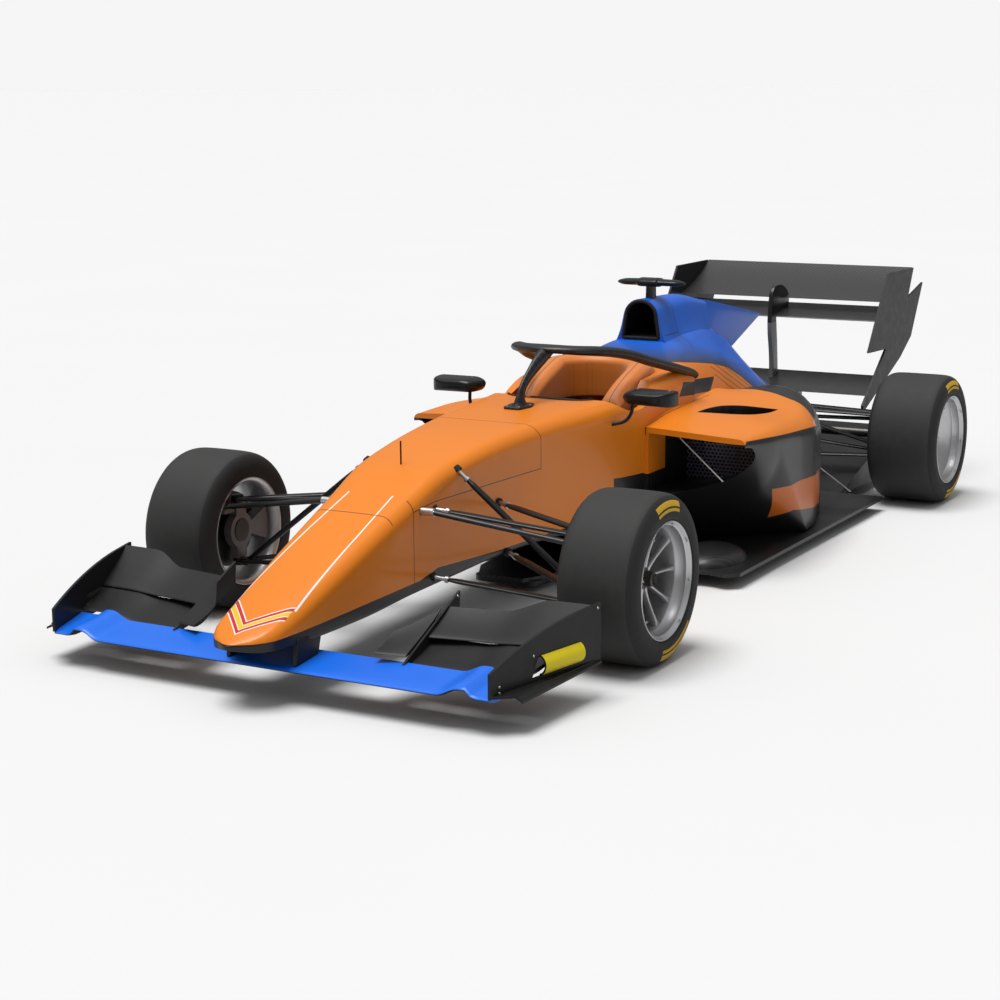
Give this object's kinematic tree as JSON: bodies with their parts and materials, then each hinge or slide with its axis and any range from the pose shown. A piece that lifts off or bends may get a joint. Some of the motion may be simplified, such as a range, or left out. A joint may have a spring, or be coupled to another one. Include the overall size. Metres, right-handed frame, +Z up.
{
  "type": "open wheel racing car",
  "caption": "Single-seat open wheel racing car with front and rear wings, halo, sidepods and slick tyres; the wheels roll and the front pair steers with the steering wheel.",
  "frame": {"origin": "middle of the car on the ground, centre of the bottom of its bounding box", "axes": "+X forward, +Y to the car's left, +Z up"},
  "size_m": [4.77, 1.885, 1.023],
  "materials": {
    "orange_paint": "gloss paint on carbon fibre",
    "blue_paint": "gloss paint on carbon fibre",
    "carbon": "satin carbon fibre",
    "tyre": "matt slick rubber",
    "alloy": "machined magnesium alloy",
    "steel": "machined steel",
    "cast_alloy": "cast alloy",
    "radiator": "black core",
    "lamp": "red lens",
    "pad": "covered foam"
  },
  "bodies": {
    "chassis": {"monocoque": "orange_paint", "nose_cone": "orange_paint", "headrest": "pad", "seat": "carbon", "halo": "carbon", "mirrors": "carbon", "engine_cover": "blue_paint", "roll_hoop_camera": "carbon", "sidepods": "orange_paint", "radiators": "radiator", "floor": "carbon", "diffuser": "carbon", "engine": "cast_alloy", "gearbox": "cast_alloy", "rear_crash_structure": "carbon", "rain_light": "lamp", "front_wing_main_plane": "blue_paint", "front_wing_flaps": "carbon", "front_wing_endplates": "carbon", "front_wing_fences": "carbon", "rear_wing_main_plane": "carbon", "rear_wing_flap": "carbon", "rear_wing_endplates": "carbon", "rear_wing_pylon": "carbon", "rear_beam_wing": "carbon", "front_wishbones": "carbon", "rear_uprights": "cast_alloy", "rear_suspension_links": "carbon"},
    "steering_rack": {"steering_rack": "carbon"},
    "steering_wheel": {"steering_wheel": "carbon"},
    "upright_left": {"upright_front_left": "cast_alloy"},
    "upright_right": {"upright_front_right": "cast_alloy"},
    "wheel_front_left": {"tyre_front_left": "tyre", "rim_front_left": "alloy", "hub_front_left": "steel"},
    "wheel_front_right": {"tyre_front_right": "tyre", "rim_front_right": "alloy", "hub_front_right": "steel"},
    "wheel_rear_left": {"tyre_rear_left": "tyre", "rim_rear_left": "alloy", "hub_rear_left": "steel"},
    "wheel_rear_right": {"tyre_rear_right": "tyre", "rim_rear_right": "alloy", "hub_rear_right": "steel"}
  },
  "joints": [
    {"name": "kingpin_left", "type": "hinge", "parent": "chassis", "child": "upright_left", "pos_m": [1.35, 0.715, 0.275], "axis": [0, 0, 1], "range_deg": [-18, 18]},
    {"name": "kingpin_right", "type": "hinge", "parent": "chassis", "child": "upright_right", "pos_m": [1.35, -0.715, 0.275], "axis": [0, 0, 1], "range_deg": [-18.1, 18.1]},
    {"name": "rack_slide", "type": "slide", "parent": "chassis", "child": "steering_rack", "axis": [0, 1, 0], "range_m": [-0.0228, 0.0228]},
    {"name": "steering_column", "type": "hinge", "parent": "chassis", "child": "steering_wheel", "pos_m": [0.325, 0, 0.57], "axis": [-0.9781, 0, 0.2079], "range_deg": [-181, 181]},
    {"name": "axle_front_left", "type": "hinge", "parent": "upright_left", "child": "wheel_front_left", "pos_m": [1.35, 0.7955, 0.275], "axis": [0, 1, 0], "continuous": true},
    {"name": "axle_front_right", "type": "hinge", "parent": "upright_right", "child": "wheel_front_right", "pos_m": [1.35, -0.7955, 0.275], "axis": [0, 1, 0], "continuous": true},
    {"name": "axle_rear_left", "type": "hinge", "parent": "chassis", "child": "wheel_rear_left", "pos_m": [-1.53, 0.7935, 0.275], "axis": [0, 1, 0], "continuous": true},
    {"name": "axle_rear_right", "type": "hinge", "parent": "chassis", "child": "wheel_rear_right", "pos_m": [-1.53, -0.7935, 0.275], "axis": [0, 1, 0], "continuous": true}
  ],
  "couplings": [
    {"joint": "kingpin_right", "follows": "kingpin_left", "ratio": 1},
    {"joint": "rack_slide", "follows": "kingpin_left", "m_per_rad": 0.072},
    {"joint": "steering_column", "follows": "kingpin_left", "ratio": 10}
  ]
}
